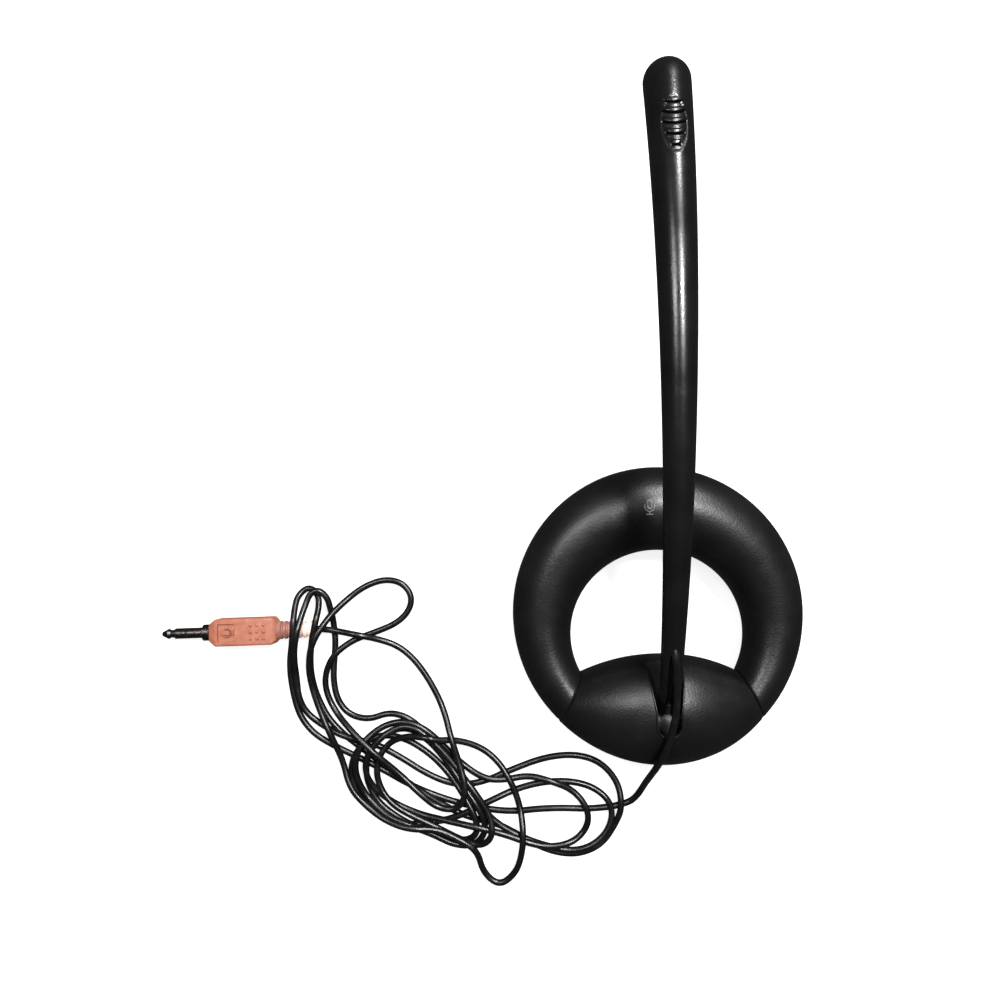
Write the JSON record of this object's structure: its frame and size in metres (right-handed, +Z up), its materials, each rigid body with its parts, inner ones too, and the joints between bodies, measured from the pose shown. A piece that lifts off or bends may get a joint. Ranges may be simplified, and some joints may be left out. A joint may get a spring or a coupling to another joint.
{
  "type": "desktop microphone",
  "caption": "Desktop microphone: weighted ring base with a bulged rear housing, slim curved wand that folds on a friction pivot, thin cord and pink audio plug.",
  "frame": {"origin": "middle of the rear foot's rest face, straight under the wand's tilt axis", "axes": "+Y from the rear housing to the front of the ring, the way the folded wand points; +Z up; +X to the right"},
  "size_m": [0.2113, 0.2515, 0.061],
  "materials": {
    "black_shell": "fine-grained black moulded plastic",
    "black_hub": "plain black moulded nylon",
    "steel": "plain bright steel",
    "jack_metal": "nickel-plated contact metal",
    "insulator": "black insulating plastic",
    "pink_plug": "salmon-pink moulded vinyl",
    "cord_vinyl": "satin black vinyl cord",
    "black_rubber": "black rubber",
    "foam": "open-cell black foam",
    "capsule_metal": "drawn aluminium can"
  },
  "bodies": {
    "root": {"ring_cover": "black_shell", "pivot_housing": "black_shell", "base_plate": "black_hub", "ring_ballast": "steel", "housing_ballast": "steel", "pivot_yoke": "black_hub", "pivot_pin": "steel", "friction_washers": "black_rubber", "spring_washer": "steel", "pin_clip": "steel", "rubber_feet": "black_rubber", "cover_screws": "steel", "yoke_screws": "steel", "cord_lead": "cord_vinyl", "cord_hank": "cord_vinyl", "plug_body": "pink_plug", "plug_relief": "pink_plug", "plug_collar": "jack_metal", "plug_sleeve": "jack_metal", "plug_ring": "jack_metal", "plug_tip": "jack_metal", "plug_insulators": "insulator"},
    "wand": {"wand_rear_shell": "black_shell", "wand_front_shell": "black_shell", "wand_hub": "black_hub", "capsule_boot": "black_rubber", "mic_capsule": "capsule_metal", "foam_screens": "foam", "inner_cable": "cord_vinyl", "cord_clamp": "steel", "cord_tail": "cord_vinyl"}
  },
  "joints": [
    {"name": "wand_tilt", "type": "hinge", "parent": "root", "child": "wand", "pos_m": [0, 0, 0.0195], "axis": [1, 0, 0], "range_deg": [-8, 52]}
  ]
}
